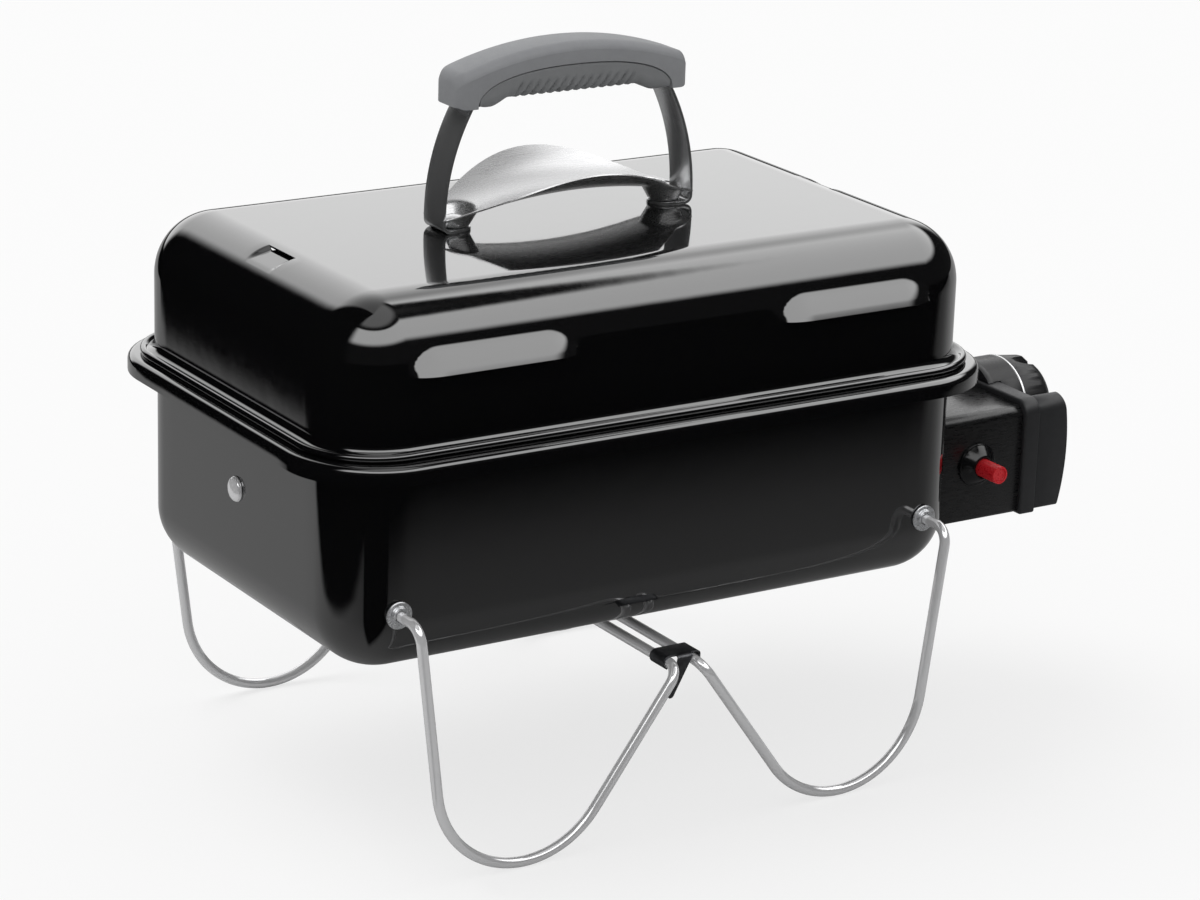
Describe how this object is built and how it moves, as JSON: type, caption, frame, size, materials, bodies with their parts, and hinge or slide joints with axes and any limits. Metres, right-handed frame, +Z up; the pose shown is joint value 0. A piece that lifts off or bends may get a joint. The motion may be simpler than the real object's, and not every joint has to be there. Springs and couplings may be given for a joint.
{
  "type": "portable tabletop grill",
  "caption": "Portable tabletop gas grill: enamel bowl and lift-off lid with louvres, folding wire legs with a clip, arched handle with heat shield, side gas control with red igniter.",
  "frame": {"origin": "on the table, under the centre of the overall box", "axes": "+X towards the gas control end, +Y towards the back, +Z up; the igniter side faces -Y"},
  "size_m": [0.5526, 0.308, 0.4254],
  "materials": {
    "black_enamel": "deep glossy porcelain enamel",
    "black_paint": "satin black paint with a faint grain",
    "grate_enamel": "satin porcelain enamel over wire",
    "chrome_wire": "bright plated wire",
    "zinc_plate": "bright zinc plate",
    "chrome_screws": "polished dome heads",
    "satin_steel": "satin stainless strip",
    "polished_steel": "polished stainless sheet",
    "burner_steel": "stainless tube, slightly heat tinted",
    "spring_steel": "dark reflecting spring steel",
    "charcoal_plastic": "fine moulded texture",
    "black_plastic": "moulded satin plastic",
    "gloss_black_plastic": "high gloss moulding",
    "red_plastic": "red moulding",
    "grey_plastic": "matte moulded nylon",
    "dark_grey_plastic": "matte moulded nylon, darker",
    "brass": "drawn brass",
    "ceramic": "glazed white insulator",
    "cable_rubber": "soft insulated lead"
  },
  "bodies": {
    "base": {"bowl": "black_enamel", "grate_rests": "black_paint", "left_end_bolt": "chrome_screws", "left_end_nut": "zinc_plate", "burner_tube": "burner_steel", "burner_end_bracket": "burner_steel", "heat_deflector": "grate_enamel", "cooking_grate": "grate_enamel", "ignition_electrode": "ceramic", "ignition_cable": "cable_rubber", "control_box": "black_paint", "box_screws": "zinc_plate", "box_nuts": "zinc_plate", "box_bezel": "charcoal_plastic", "end_cover": "charcoal_plastic", "bezel_screws": "zinc_plate", "regulator_bracket": "burner_steel", "regulator_body": "black_plastic", "regulator_ring": "chrome_screws", "gas_pipe": "brass", "gas_orifice": "brass", "igniter_body": "black_plastic", "igniter_collar": "gloss_black_plastic", "igniter_spring": "spring_steel", "pivot_washers": "zinc_plate"},
    "lid": {"lid": "black_enamel", "handle_strap": "satin_steel", "grip_cap": "grey_plastic", "grip_insert": "dark_grey_plastic", "heat_shield": "polished_steel", "handle_screws": "chrome_screws", "handle_nuts": "zinc_plate"},
    "left_leg": {"left_leg": "chrome_wire", "left_push_nuts": "zinc_plate"},
    "right_leg": {"right_leg": "chrome_wire", "right_push_nuts": "zinc_plate"},
    "leg_clip": {"leg_clip": "spring_steel"},
    "control_knob": {"control_knob": "black_plastic"},
    "igniter_button": {"igniter_button": "red_plastic"}
  },
  "joints": [
    {"name": "lid_lift", "type": "slide", "parent": "base", "child": "lid", "axis": [0, 0, 1], "range_m": [0, 0.21]},
    {"name": "left_leg_fold", "type": "hinge", "parent": "base", "child": "left_leg", "pos_m": [-0.22775, 0, 0.1512], "axis": [0, 1, 0], "range_deg": [0, 252.4]},
    {"name": "right_leg_fold", "type": "hinge", "parent": "base", "child": "right_leg", "pos_m": [0.12025, 0, 0.1512], "axis": [0, -1, 0], "range_deg": [0, 252.4]},
    {"name": "clip_release", "type": "hinge", "parent": "left_leg", "child": "leg_clip", "pos_m": [-0.06145, 0, 0.0984], "axis": [0, -1, 0], "range_deg": [0, 20]},
    {"name": "knob_turn", "type": "hinge", "parent": "base", "child": "control_knob", "pos_m": [0.25225, -0.0223, 0.1714], "axis": [1, 0, 0], "range_deg": [0, 270]},
    {"name": "igniter_press", "type": "slide", "parent": "base", "child": "igniter_button", "axis": [0, 1, 0], "range_m": [0, 0.005], "stiffness_N_per_m": 300, "deforming": ["igniter_spring"]}
  ]
}
